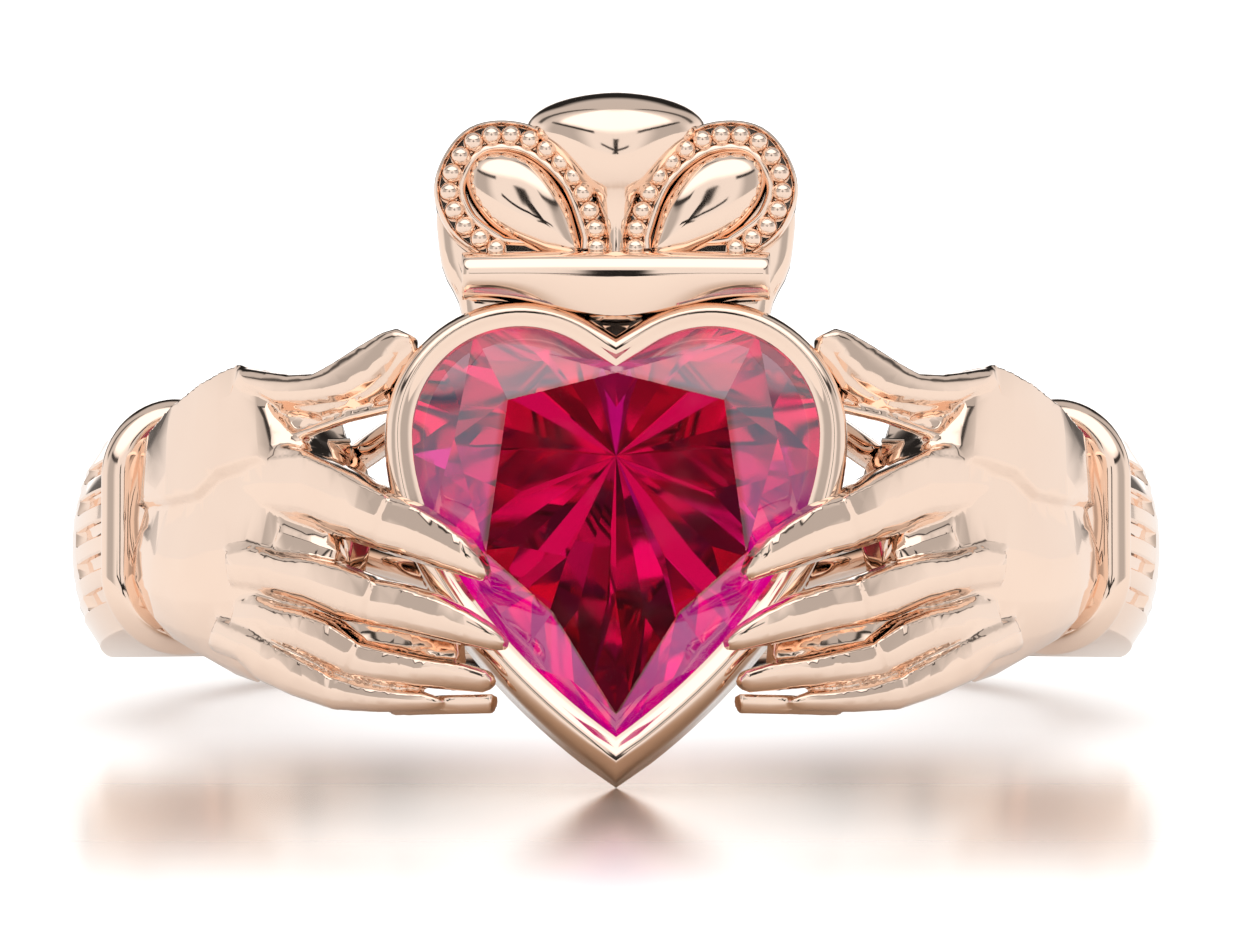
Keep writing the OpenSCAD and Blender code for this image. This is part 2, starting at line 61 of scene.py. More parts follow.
# Sizes in millimetres, as in the CAD part
hole = frame["record"]["mounts"][0]
FINGER_R = hole["dims"]["r_mm"]
LEAN = math.atan2(hole["axis"][1], hole["axis"][2])
PLACE = (
    Matrix.Translation(hole["pos_m"])
    @ Matrix.Rotation(-LEAN, 4, "X")
    @ Matrix.Scale(0.001, 4)
)

# Band: its walls and heights at the back, at the shoulders and at its two front ends
BAND_WALL = 1.5
SHOULDER_WALL = 2.3
BAND_H = 2.6
SHOULDER_H = 3.8
END_H = 2.1
END_X = 5.3
SHOULDER_REACH = 2.5
END_TAPER = 0.6
BAND_DOME_R = 4.5
BAND_EDGE = 0.13

# Cuffs: rolled collars and fluted sleeves, with angles in degrees from the front
COLLAR_ANGLE = 65
COLLAR_R = FINGER_R + 1.25
COLLAR_WIRE = 0.8
COLLAR_H = 5.3
COLLAR_W = 3.4
SLEEVE_R = FINGER_R + 2.74
SLEEVE_H = 4.2
SLEEVE_DOME_R = 4.2
SLEEVE_EDGE = 0.14
SLEEVE_END = 97
FLUTES = 5
FLUTE_PITCH = 0.66
FLUTE_W = 0.3
FLUTE_DEPTH = 0.2
FLUTE_LIP = 0.035
FLUTE_END = 80
FLUTE_RUN_OUT = 1.2

# Heart: REACH is how far its face stands out from the finger's axis
REACH = FINGER_R + 4.35
HEART_W = 8.0
HEART_DROP = 5.97
HEART_Z = 0.75
LOBE_R = 2.13
CLEFT_RISE = 1.33
RIM_W = 0.55
TIP_RIM_W = 0.68
BEZEL_D = 2.3
GALLERY_BAR_T = 0.6

# Stone
SEAT_LAP = 0.12
GIRDLE_DEPTH = 0.45
GIRDLE_T = 0.1
STONE_CROWN = 0.9
STONE_PAVILION = 3.2
CULET_Z = 0.5

# Crown: CROWN_Z is the top of its bar
CROWN_HALF_W = 3.52
CROWN_Z = HEART_Z + 3.61
CROWN_H = 3.22
CROWN_T = 1.5
CROWN_BAR_HALF_W = 3.03
CROWN_BAR_H = 0.87
CROWN_BAR_DROP = 0.43
CROWN_BAR_BULGE = 0.34
CROWN_BAR_END = 0.12
BEADS = 18
BEAD_D = 0.4

# Hands: plan of the curve that they follow from wrist to fingertips
FINGERTIP_X = 2.1
FINGERTIP_LIFT = 0.95
SWEEP_X = 8.3
SWEEP_BACK = 1.8
WRIST_INSET = 0.06


# Shapes
def lerp(a, b, t):
    return a + (b - a) * t


def unit(v):
    return v / np.linalg.norm(v)


def spline(points, u, closed=False):
    """Point at u, from 0 to 1, on a smooth curve through every point of a list."""
    points = [np.array(p, float) for p in points]
    count = len(points)
    last = count if closed else count - 1
    s = min(max(u, 0) * last, last - 1e-6)
    i = int(s)
    t = s - i
    if closed:
        a, b, c, d = (points[(i + k) % count] for k in (-1, 0, 1, 2))
    else:
        a, b, c, d = (points[min(max(i + k, 0), count - 1)] for k in (-1, 0, 1, 2))
    return 0.5 * (
        2 * b
        + (c - a) * t
        + (2 * a - 5 * b + 4 * c - d) * t**2
        + (3 * b - a - 3 * c + d) * t**3
    )


class Form:
    """Points and faces that become one piece."""

    def __init__(self):
        self.points = []
        self.faces = []

    def add(self, points, faces):
        base = len(self.points)
        self.points += [tuple(float(c) for c in p) for p in points]
        self.faces += [tuple(base + i for i in face) for face in faces]
        return self

    def loft(self, rings, loop=False):
        """Closed solid through equal rings; with loop the last ring joins the first."""
        n = len(rings[0])
        m = len(rings)
        points = [p for ring in rings for p in ring]
        faces = [
            (i * n + j, i * n + (j + 1) % n, (i + 1) % m * n + (j + 1) % n, (i + 1) % m * n + j)
            for i in range(m if loop else m - 1)
            for j in range(n)
        ]
        if not loop:
            faces += [tuple(range(n - 1, -1, -1)), tuple((m - 1) * n + j for j in range(n))]
        return self.add(points, faces)

    def sphere(self, middle, radius, sides=16, stacks=10):
        """Ball whose poles point to the front and the back."""
        rings = []
        for i in range(1, stacks):
            down = math.pi * i / stacks
            rings.append([
                (
                    middle[0] + radius * math.sin(down) * math.cos(math.tau * j / sides),
                    middle[1] - radius * math.cos(down),
                    middle[2] + radius * math.sin(down) * math.sin(math.tau * j / sides),
                )
                for j in range(sides)
            ])
        front = (middle[0], middle[1] - radius, middle[2])
        back = (middle[0], middle[1] + radius, middle[2])
        points = [p for ring in rings for p in ring] + [front, back]
        last = (stacks - 2) * sides
        faces = []
        for i in range(0, last, sides):
            for j in range(sides):
                k = (j + 1) % sides
                faces.append((i + j, i + k, i + sides + k, i + sides + j))
        faces += [(len(points) - 2, (j + 1) % sides, j) for j in range(sides)]
        faces += [(len(points) - 1, last + j, last + (j + 1) % sides) for j in range(sides)]
        return self.add(points, faces)

    def on_floor(self):
        """The same form with whatever would sink into the floor pressed flat against it."""
        back = PLACE.inverted()
        for i, point in enumerate(self.points):
            placed = PLACE @ Vector(point)
            if placed.z < 0:
                placed.z = 0
                self.points[i] = tuple(back @ placed)
        return self

    def mirrored(self):
        """The same form on the other side of the ring."""
        other = Form()
        other.points = [(-x, y, z) for x, y, z in self.points]
        other.faces = [face[::-1] for face in self.faces]
        return other

    def join(self, other):
        return self.add(other.points, other.faces)


def skin(form, voxel, rounds, share):
    """One closed skin over all the solids of a form, softened and thinned out to a share of its faces."""
    mesh = bpy.data.meshes.new("skin")
    mesh.from_pydata(form.points, [], form.faces)
    source = bpy.data.objects.new("skin", mesh)
    bpy.context.scene.collection.objects.link(source)
    remesh = source.modifiers.new("remesh", "REMESH")
    remesh.mode = "VOXEL"
    remesh.voxel_size = voxel
    soften = source.modifiers.new("soften", "SMOOTH")
    soften.iterations = rounds
    facets = source.modifiers.new("facets", "DECIMATE")
    facets.ratio = share
    found = source.evaluated_get(bpy.context.evaluated_depsgraph_get()).to_mesh()
    faces = [tuple(face.vertices) for face in found.polygons]
    # Two faces back to back are a stray sheet
    twins = Counter(frozenset(face) for face in faces)
    faces = [face for face in faces if twins[frozenset(face)] == 1]
    made = Form().add([v.co for v in found.vertices], faces)
    bpy.data.objects.remove(source)
    bpy.data.meshes.remove(mesh)
    return made


def piece(name, form, material, node="ring_body", slot="rose_gold", crease=40):
    """Visible piece of a form; edges that turn by more than crease degrees stay sharp."""
    mesh = bpy.data.meshes.new(name)
    mesh.from_pydata([PLACE @ Vector(p) for p in form.points], [], form.faces)
    work = bmesh.new()
    work.from_mesh(mesh)
    bmesh.ops.delete(work, geom=[v for v in work.verts if not v.link_faces], context="VERTS")
    bmesh.ops.recalc_face_normals(work, faces=work.faces)
    work.to_mesh(mesh)
    work.free()
    mesh.polygons.foreach_set("use_smooth", [True] * len(mesh.polygons))
    mesh.set_sharp_from_angle(angle=math.radians(crease))
    mesh.materials.append(material)
    made = bpy.data.objects.new(name, mesh)
    bpy.context.scene.collection.objects.link(made)
    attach(made, "root")
    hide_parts(node)
    return made


def pair(name, form, material, **options):
    """A piece on the left of the ring and its mirror image on the right."""
    piece(name + "_left", form, material, **options)
    piece(name + "_right", form.mirrored(), material, **options)


# Materials
class Nodes:
    """Short ways to add and link shader nodes."""

    def __init__(self, tree):
        self.tree = tree

    def add(self, kind, inputs=(), **settings):
        made = self.tree.nodes.new("ShaderNode" + kind)
        for key, value in settings.items():
            setattr(made, key, value)
        for key, value in dict(inputs).items():
            self.put(made.inputs[key], value)
        return made

    def put(self, socket, value):
        if isinstance(value, bpy.types.NodeSocket):
            self.tree.links.new(value, socket)
        else:
            socket.default_value = value

    def math(self, operation, *values):
        return self.add("Math", dict(enumerate(values)), operation=operation).outputs[0]

    def ramp(self, value, low, high, at_low=0.0, at_high=1.0):
        """Smooth change from at_low to at_high while value goes from low to high."""
        inputs = {"Value": value, "From Min": low, "From Max": high, "To Min": at_low, "To Max": at_high}
        return self.add("MapRange", inputs, interpolation_type="SMOOTHSTEP").outputs[0]

    def dot(self, vector, way):
        """How far a vector reaches along another."""
        return self.add("VectorMath", {0: vector, 1: way}, operation="DOT_PRODUCT").outputs["Value"]

    def mix(self, share, a, b):
        """Number between two others."""
        return self.add("Mix", {0: share, 2: a, 3: b}, data_type="FLOAT").outputs[0]

    def colours(self, share, a, b):
        """Colour between two others, each three numbers or a socket."""
        a, b = (c if isinstance(c, bpy.types.NodeSocket) else (*c, 1) for c in (a, b))
        return self.add("Mix", {0: share, 6: a, 7: b}, data_type="RGBA").outputs[2]


def new_material(name):
    material = bpy.data.materials.new(name)
    material.use_nodes = True
    return material, material.node_tree.nodes


def rose_gold():
    """Polished metal whose colour and polish vary a little from place to place."""
    material, nodes = new_material("rose_gold")
    shader = nodes["Principled BSDF"]
    shader.inputs["Metallic"].default_value = 1
    n = Nodes(material.node_tree)
    place = n.add("TexCoord").outputs["Object"]
    clouds = n.add("TexNoise", {"Vector": place, "Scale": 900.0, "Detail": 1.0}).outputs[0]
    n.put(shader.inputs["Base Color"], n.colours(clouds, (0.975, 0.765, 0.63), (0.945, 0.73, 0.6)))
    n.put(shader.inputs["Roughness"], n.ramp(clouds, 0.3, 0.7, 0.04, 0.09))
    return material


def ruby():
    """Clear stone that takes its red from its depth, with fine silk and a painted glow."""
    material, nodes = new_material("ruby")
    shader = nodes["Principled BSDF"]
    shader.inputs["IOR"].default_value = 2.1
    shader.inputs["Transmission Weight"].default_value = 1
    # Strength of the painted glow, which stands in for light inside the stone
    shader.inputs["Emission Strength"].default_value = 1
    n = Nodes(material.node_tree)
    place = n.add("TexCoord").outputs["Object"]
    silk = n.add("TexNoise", {"Vector": place, "Scale": 1200.0, "Detail": 1.0}).outputs[0]
    n.put(shader.inputs["Base Color"], n.colours(silk, (1, 1, 1), (1, 0.9, 0.96)))
    n.put(shader.inputs["Roughness"], n.ramp(silk, 0.35, 0.75, 0.02, 0.09))
    # Painted glow, standing in for light that bounces and reflects inside the stone, in metres of the ring's
    # frame: grey pink in the upper slopes,
    #  magenta in the lower ones, dark red in the table and none behind the girdle
    depth, height = (
        n.math("SUBTRACT", n.dot(place, axis), PLACE.translation @ axis)
        for axis in (PLACE.to_3x3() @ Vector(way) * 1000 for way in ((0, -1, 0), (0, 0, 1)))
    )
    girdle = (REACH - GIRDLE_DEPTH) / 1000
    table = girdle + STONE_CROWN / 1000
    upper = n.ramp(height, (HEART_Z - 2.5) / 1000, (HEART_Z + 0.3) / 1000)
    slopes = n.colours(upper, (0.27, 0.0, 0.15), (0.05, 0.06, 0.09))
    sloping = n.ramp(depth, table - 0.00006, table - 0.00001, 1.0, 0.0)
    face = n.colours(sloping, (0.018, 0.0, 0.002), slopes)
    painted_glow = n.colours(n.ramp(depth, girdle - 0.00002, girdle), (0, 0, 0), face)
    # The painted glow goes into the stone's emission
    n.put(shader.inputs["Emission Color"], painted_glow)
    volume = n.add("VolumeAbsorption", {"Color": (0.985, 0.0, 0.88, 1), "Density": 2500.0})
    n.put(nodes["Material Output"].inputs["Volume"], volume.outputs[0])
    return material


# Band, sleeves and collars
def half_height(y):
    """Half of the band's height at a place from its front ends to its back."""
    end_y = -math.sqrt(FINGER_R**2 - END_X**2) - END_TAPER
    places = [-20, end_y, -SHOULDER_REACH, FINGER_R + BAND_WALL, 20]
    heights = [END_H, END_H, SHOULDER_H, BAND_H, BAND_H]
    return float(np.interp(y, places, heights)) / 2


def outer_radius(angle, z):
    """Distance from the finger's axis to the band's domed face."""
    shift = SHOULDER_WALL - BAND_WALL
    dome = FINGER_R + SHOULDER_WALL - BAND_DOME_R + math.sqrt(BAND_DOME_R**2 - z**2)
    return shift * math.cos(angle) + math.sqrt(dome**2 - (shift * math.sin(angle)) ** 2)


def around(angle, radius, z):
    """Point at an angle from the front, on the right."""
    return (radius * math.sin(angle), -radius * math.cos(angle), z)


def band_section(angle, half):
    """Radius and height round the band's wall, with rounded edges."""
    edge = BAND_EDGE
    flat = half - edge
    rim = outer_radius(angle, flat)
    bends = [(edge * math.sin(a), edge * math.cos(a)) for a in (math.radians(30), math.radians(60))]
    bore = [(FINGER_R, -flat), (FINGER_R, 0), (FINGER_R, flat)]
    top = [(FINGER_R + edge - c, flat + s) for s, c in bends]
    top += [(FINGER_R + edge, half), (rim - edge, half)]
    top += [(rim - edge + s, flat + c) for s, c in bends]
    face = [(outer_radius(angle, z), z) for z in np.linspace(flat, -flat, 13)]
    return bore + top + face + [(radius, -z) for radius, z in top[::-1]]


def shank():
    steps = 120
    mid_wall = FINGER_R + 0.8
    first = math.asin(END_X / FINGER_R)
    rings = []
    for i in range(steps + 1):
        t = i / steps
        angle = lerp(first, math.tau - first, t)
        half = half_height(-mid_wall * math.cos(angle))
        ring = []
        for radius, z in band_section(angle, half):
            # The band's two ends are flat, so each radius starts at its own angle
            start = math.asin(END_X / radius)
            ring.append(around(lerp(start, math.tau - start, t), radius, z))
        rings.append(ring)
    return Form().loft(rings)


def sleeve_face(z):
    """Distance from the finger's axis to the sleeve's domed face."""
    return SLEEVE_R - SLEEVE_DOME_R + math.sqrt(SLEEVE_DOME_R**2 - z**2)


def sleeve_section(depth):
    """Radius and height round the sleeve's wall; flutes of no depth lie on its face."""
    half = SLEEVE_H / 2
    edge = SLEEVE_EDGE
    bevel = 0.04
    face = sleeve_face(half)
    top = [(face, half - edge), (face - bevel, half - bevel), (face - edge, half), (FINGER_R, half)]
    section = [(radius, -z) for radius, z in top[::-1]]
    for i in range(FLUTES):
        middle = (i - (FLUTES - 1) / 2) * FLUTE_PITCH
        for side in (-1, 1):
            wall = middle + side * FLUTE_W / 2
            face = sleeve_face(wall)
            slot_side = [
                (face, wall + side * FLUTE_LIP),
                (face - min(depth, FLUTE_LIP), wall),
                (face - depth * 0.85, wall - side * 0.005),
                (face - depth, wall - side * 0.06),
            ]
            section += slot_side if side < 0 else slot_side[::-1]
    return section + top


def sleeve():
    fluted = np.linspace(COLLAR_ANGLE - 1, FLUTE_END, 25)
    plain = np.linspace(FLUTE_END + 0.6, SLEEVE_END - 0.6, 15)
    rings = []
    for angle in (*fluted, *plain):
        run_out = min(1, max(0, (FLUTE_END - angle) / FLUTE_RUN_OUT))
        section = sleeve_section(FLUTE_DEPTH * run_out**0.6)
        rings.append([around(-math.radians(angle), radius, z) for radius, z in section])
    # The end is drawn in a little, but not at the bore
    end = [(radius - 0.12 if radius > FINGER_R + 1 else radius, z * 0.97) for radius, z in sleeve_section(0)]
    rings.append([around(-math.radians(SLEEVE_END), radius, z) for radius, z in end])
    return Form().loft(rings)


def collar():
    """Rolled wire round the wrist, along two straight lengths and two half turns."""
    turn_r = (COLLAR_W - COLLAR_WIRE) / 2
    straight = COLLAR_H / 2 - COLLAR_WIRE / 2 - turn_r
    angle = -math.radians(COLLAR_ANGLE)
    out = np.array([math.sin(angle), -math.cos(angle), 0])
    along_band = np.array([math.cos(angle), math.sin(angle), 0])
    up = np.array([0, 0, 1.0])
    steps = 64
    sides = 24
    rings = []
    for i in range(steps):
        a = math.tau * i / steps
        half = 1 if math.sin(a) >= 0 else -1
        normal = out * math.cos(a) + up * math.sin(a)
        middle = out * COLLAR_R + up * straight * half + normal * turn_r
        rings.append([
            middle + COLLAR_WIRE / 2 * (normal * math.cos(b) + along_band * math.sin(b))
            for b in (math.tau * k / sides for k in range(sides))
        ])
    return Form().loft(rings, loop=True)


# Gallery bars. Columns: height at the band as a share of END_H, then the place and the height at
# the heart as shares of HEART_W / 2 and HEART_DROP
GALLERY_BARS = [
    (0.36, 1.06, 0.06),
    (-0.36, 0.89, -0.44),
]


def gallery():
    form = Form()
    turn = [math.tau * k / 20 for k in range(20)]
    for at_band, at_side, at_height in GALLERY_BARS:
        start = np.array([
            -END_X - 0.65 * GALLERY_BAR_T,
            -math.sqrt(FINGER_R**2 - END_X**2),
            at_band * END_H,
        ])
        end = np.array([
            -at_side * HEART_W / 2,
            BEZEL_D - GALLERY_BAR_T - REACH,
            HEART_Z + at_height * HEART_DROP,
        ])
        run = unit(end - start)
        side = unit(np.cross(run, [0, 0, 1]))
        up = np.cross(side, run)
        form.loft([
            [at + GALLERY_BAR_T / 2 * (side * math.cos(a) + up * math.sin(a)) for a in turn]
            for at in (start, end)
        ])
    return form


# Heart
LOBE_STEPS = 28
SIDE_STEPS = 24
# Bezier curve from a lobe to the tip, in shares of HEART_W / 2 and HEART_DROP
SIDE_CURVE = [(1, 0), (1, -0.343), (0.575, -0.72), (0, -1)]


def heart_half():
    """Right half of the stone opening's outline, from the cleft to the tip."""
    half = HEART_W / 2
    lobe_x = half - LOBE_R
    first = math.pi - math.atan2(CLEFT_RISE, lobe_x) - math.acos(LOBE_R / math.hypot(lobe_x, CLEFT_RISE))
    c = [np.array([x * half, z * HEART_DROP]) for x, z in SIDE_CURVE]
    points = [np.array([0, CLEFT_RISE])]
    for i in range(LOBE_STEPS + 1):
        a = first * (1 - i / LOBE_STEPS)
        points.append(np.array([lobe_x + LOBE_R * math.cos(a), LOBE_R * math.sin(a)]))
    for i in range(1, SIDE_STEPS + 1):
        t = i / SIDE_STEPS
        s = 1 - t
        points.append(s**3 * c[0] + 3 * s * s * t * c[1] + 3 * s * t * t * c[2] + t**3 * c[3])
    return points


def heart(grow, tip_grow=None):
    """Heart outline from the cleft down the left side and up the right, moved outwards."""
    tip_grow = grow if tip_grow is None else tip_grow
    half = heart_half()
    last = len(half) - 1
    right = []
    for i, p in enumerate(half):
        before = half[i - 1] if i else half[1] * [-1, 1]
        after = half[i + 1] if i < last else half[i - 1] * [-1, 1]
        u = unit(p - before)
        v = unit(after - p)
        # The corners at cleft and tip move further, so that both their sides move by the same width
        n = unit(np.array([-u[1] - v[1], u[0] + v[0]]))
        n /= max(0.3, n @ np.array([-u[1], u[0]]))
        right.append(p + n * lerp(grow, tip_grow, max(0, -p[1] / HEART_DROP)))
    outline = [p * [-1, 1] for p in right] + right[-2:0:-1]
    return [(p[0], p[1] + HEART_Z) for p in outline]


# Section of the heart's wall. Columns: share of the rim's width, depth behind its face
RIM_SECTION = [
    (0.0, 0.4), (0.0, 0.14), (0.02, 0.11), (0.1, 0.1), (0.2, 0.085), (0.3, 0.05), (0.4, 0.015),
    (0.48, 0.0), (0.58, 0.0), (0.68, 0.02), (0.8, 0.08), (0.9, 0.17), (0.97, 0.29), (1.0, 0.42), (1.0, 2.2),
    (0.9, 2.3), (0.1, 2.3), (0.0, 2.2), (0.0, 0.68), (0.25, 0.62), (0.25, 0.4),
]


def bezel():
    rings = []
    for share, depth in RIM_SECTION:
        outline = heart(share * RIM_W, share * TIP_RIM_W)
        rings.append([(x, depth - REACH, z) for x, z in outline])
    return Form().loft(rings, loop=True)


# Stone: the table's corners in shares of HEART_W / 2 and HEART_DROP, the outline's step that each
# faces, and the pavilion's corners as the share of the way in and the share of the depth
TABLE = [(0, 0.19), (0.53, 0.1), (0.635, -0.405), (0.31, -0.6), (0, -0.935)]
TABLE_STEPS = [0, 14, 36, 46, LOBE_STEPS + SIDE_STEPS + 1]
PAVILION_CORNER = (0.5, 0.46)
PAVILION_MIDDLE = (0.36, 0.56)


def stone():
    """Cut stone: table, crown facets, girdle, and a pavilion that comes to a point behind."""
    outline = heart(SEAT_LAP)
    n = len(outline)
    left = [(-x * HEART_W / 2, HEART_Z + z * HEART_DROP, s) for (x, z), s in zip(TABLE, TABLE_STEPS)]
    right = [(-x, z, n - s) for x, z, s in left[-2:0:-1]]
    corners = left + right
    c = len(corners)
    girdle_y = GIRDLE_DEPTH - REACH
    table_y = girdle_y - STONE_CROWN
    culet = (0, girdle_y + GIRDLE_T + STONE_PAVILION, CULET_Z)
    table = [(x, table_y, z) for x, z, s in corners]
    ends = [s for x, z, s in corners] + [n]
    middle = [(ends[i] + ends[i + 1]) // 2 for i in range(c)]

    def under(step, share, depth):
        """Corner of the pavilion, a share of the way in from the girdle and down to the culet."""
        x, z = outline[step % n]
        return (lerp(x, 0, share), lerp(girdle_y + GIRDLE_T, culet[1], depth), lerp(z, culet[2], share))

    crown_mid = []
    low = []
    for i in range(c):
        rim = outline[middle[i]]
        inner = [(a + b) / 2 for a, b in zip(table[i], table[(i + 1) % c])]
        crown_mid.append((
            lerp(rim[0], inner[0], 0.5),
            lerp(girdle_y, table_y, 0.62),
            lerp(rim[1], inner[2], 0.5),
        ))
        low += [under(ends[i], *PAVILION_CORNER), under(middle[i], *PAVILION_MIDDLE)]
    front = [(x, girdle_y, z) for x, z in outline]
    back = [(x, girdle_y + GIRDLE_T, z) for x, z in outline]
    edge0 = 2 * c
    back0 = edge0 + n
    low0 = back0 + n
    tip = low0 + 2 * c
    faces = [tuple(range(c))]
    for i in range(c):
        j = (i + 1) % c
        a = ends[i]
        b = ends[i + 1]
        faces += [(i, j, c + i), (i, c + i, edge0 + a), (j, edge0 + b % n, c + i)]
        faces += [(c + i, edge0 + (s + 1) % n, edge0 + s) for s in range(a, b)]
    steps = sorted(ends[:-1] + middle)
    for i, step in enumerate(steps):
        j = (i + 1) % len(steps)
        after = steps[j] if j else n
        half = (step + after) // 2
        faces += [(low0 + i, back0 + s, back0 + (s + 1) % n) for s in range(step, half)]
        faces += [(low0 + j, back0 + s, back0 + (s + 1) % n) for s in range(half, after)]
        faces += [(low0 + i, back0 + half, low0 + j), (low0 + i, low0 + j, tip)]
    for s in range(n):
        k = (s + 1) % n
        faces.append((edge0 + s, edge0 + k, back0 + k, back0 + s))
    return Form().add(table + crown_mid + front + back + low + [culet], faces)


# Crown, in shares of its half width and its height above the top of its bar
BEAD_LINE = [
    (-0.67, 0.015), (-0.866, 0.183), (-0.93, 0.432), (-0.781, 0.69), (-0.497, 0.696), (-0.241, 0.472),
    (-0.119, 0.152), (-0.108, 0.02),
]
DOME_LINE = [
    (-0.845, 0.445), (-0.825, 0.552), (-0.757, 0.62), (-0.64, 0.637), (-0.515, 0.603), (-0.394, 0.512),
    (-0.298, 0.375), (-0.235, 0.22), (-0.195, -0.03), (-0.33, -0.04), (-0.48, 0.02), (-0.613, 0.092),
    (-0.728, 0.19), (-0.812, 0.315),
]
# Relief across a side petal. Columns: offset from the line of beads, depth behind the face
PETAL_RELIEF = [
    (0.2, 1.5), (0.3, 1.35), (0.31, 0.3), (0.3, 0.08), (0.27, 0.0), (0.24, -0.02), (0.21, 0.01), (0.19, 0.12),
    (-0.13, 0.12), (-0.16, 0.03), (-0.2, 0.0), (-0.27, 0.0), (-0.31, 0.05), (-0.32, 0.6),
]
# Centre petal: its round top, then its rows downwards. Columns: height, half width, bulge,
# roundness of its section
PETAL_APEX = 0.62
PETAL_ROUND_FROM = 0.789
PETAL_ROUND_H = 0.217
PETAL_HALF_W = 0.503
PETAL_ROUNDNESS = 2.1
PETAL_ROWS = [
    (0.65, 0.44, 0.7, 2.1),
    (0.6, 0.4, 0.695, 2),
    (0.54, 0.35, 0.66, 2),
    (0.48, 0.31, 0.59, 1.8),
    (0.43, 0.28, 0.49, 1.7),
    (0.38, 0.25, 0.36, 1.6),
    (0.34, 0.23, 0.26, 1.5),
    (0.22, 0.2, 0.1, 1.4),
    (0, 0.18, 0.04, 1.4),
]
# Side of the crown's back plate, from its foot up
BACK_LINE = [
    (-0.864, -0.36), (-0.892, -0.24), (-0.972, -0.065), (-1.003, 0.143), (-1.0085, 0.301), (-0.98, 0.47),
    (-0.9, 0.53),
]
# Columns: share of the plate's size, depth behind the heart's face
BACK_ROWS = [(0.9, 0.62), (0.95, 0.66), (0.98, 0.76), (0.995, 0.92), (1.0, 1.1), (1.0, 1.4), (0.98, 1.5)]
# Plates between heart and crown, in millimetres: one in the cleft, one on each side of it
CLEFT_WEB = [(-0.75, 3.12), (-0.4, 2.8), (0, 2.6), (0.4, 2.8), (0.75, 3.12)]
CLEFT_WEB_DEPTHS = (0.95, 1.45)
CLEFT_PLATE = [(-0.52, 3.07), (-0.34, 3.03), (-0.13, 2.76), (-0.2, 2.74), (-0.42, 2.9)]
CLEFT_PLATE_ROWS = [(0.97, 0.38), (1, 0.44), (1, 1.0)]


def crown_point(x, z):
    """Place in millimetres of a point given in shares of the crown's size."""
    return np.array([x * CROWN_HALF_W, CROWN_Z + z * CROWN_H])


def along(line, count):
    """Evenly spaced places on a smooth curve through a list of points, with its directions."""
    fine = [spline(line, i / 400) for i in range(401)]
    steps = [np.linalg.norm(q - p) for p, q in zip(fine, fine[1:])]
    reach = np.concatenate([[0], np.cumsum(steps)])
    for distance in np.linspace(0, reach[-1], count):
        u = float(np.interp(distance, reach, np.linspace(0, 1, 401)))
        way = unit(spline(line, min(1, u + 0.01)) - spline(line, max(0, u - 0.01)))
        yield spline(line, u), way


def dome(outline, middle, front, height, root, steps=16):
    """Rounded boss over an outline of (x, z) points; front is the depth of its foot."""
    rings = [[(x, root - REACH, z) for x, z in outline]]
    for k in range(steps):
        a = math.pi / 2 * k / steps
        share = math.cos(a) ** 0.7
        y = front - REACH - height * math.sin(a)
        rings.append([(lerp(middle[0], x, share), y, lerp(middle[1], z, share)) for x, z in outline])
    form = Form().loft(rings)
    # The flat cap on the last ring gives way to a fan of faces round a point
    n = len(outline)
    last = (len(rings) - 1) * n
    tip = len(form.points)
    form.faces.pop()
    form.points.append((middle[0], front - REACH - height, middle[1]))
    form.faces += [(last + i, last + (i + 1) % n, tip) for i in range(n)]
    return form


def side_petal():
    """Left petal: a rim that follows the line of beads, round a drop-shaped boss."""
    line = [crown_point(*p) for p in BEAD_LINE]
    track = list(along(line, 60))
    rings = []
    for offset, depth in PETAL_RELIEF:
        rings.append([
            (p[0] - way[1] * offset, depth - REACH, max(CROWN_Z - 0.15, p[1] + way[0] * offset))
            for p, way in track
        ])
    form = Form().loft(rings)
    foot = [crown_point(*p) for p in DOME_LINE]
    outline = [spline(foot, i / 72, closed=True) for i in range(72)]
    boss = dome(outline, middle=crown_point(-0.52, 0.33), front=0.25, height=0.62, root=0.9)
    return form.join(boss)


def beads():
    form = Form()
    for place, _ in along([crown_point(*p) for p in BEAD_LINE], BEADS):
        form.sphere((place[0], 0.02 - REACH, place[1]), BEAD_D / 2)
    return form


def petal_bulge(height):
    """How far the centre petal stands out of the heart's face; its top edge falls behind it."""
    rise = max(0.0, (height - PETAL_APEX) / (1.01 - PETAL_APEX))
    return 1.25 * math.sqrt(1 - min(1.0, rise) ** 2.5) - 0.55


def centre_petal():
    edge = 0.6
    rows = []
    for a in np.linspace(math.pi / 2, 0, 12)[1:]:
        height = PETAL_ROUND_FROM + PETAL_ROUND_H * math.sin(a)
        rows.append((height, PETAL_HALF_W * math.cos(a), petal_bulge(height), PETAL_ROUNDNESS))
    for height, half_w in ((0.745, 0.502), (0.7, 0.48)):
        rows.append((height, half_w, petal_bulge(height), PETAL_ROUNDNESS))
    rows += PETAL_ROWS
    rings = []
    for height, half_w, bulge, power in rows:
        x_end, z = crown_point(half_w, height)
        ring = []
        for k in range(33):
            s = -math.cos(math.pi * k / 32)
            rise = (1 - abs(s) ** power) ** (0.5 if power > 1.5 else 1)
            ring.append((s * x_end, edge - REACH - (bulge + edge) * rise, z))
        ring += [(x_end, CROWN_T - REACH, z), (-x_end, CROWN_T - REACH, z)]
        rings.append(ring)
    return Form().loft(rings)


def bar_foot(x):
    """Height of the bar's lower edge, lowest in the middle."""
    drop = ((1 + math.cos(math.pi * min(1, abs(x) / CROWN_BAR_HALF_W))) / 2) ** 1.6
    return CROWN_Z - CROWN_BAR_H - CROWN_BAR_DROP * drop


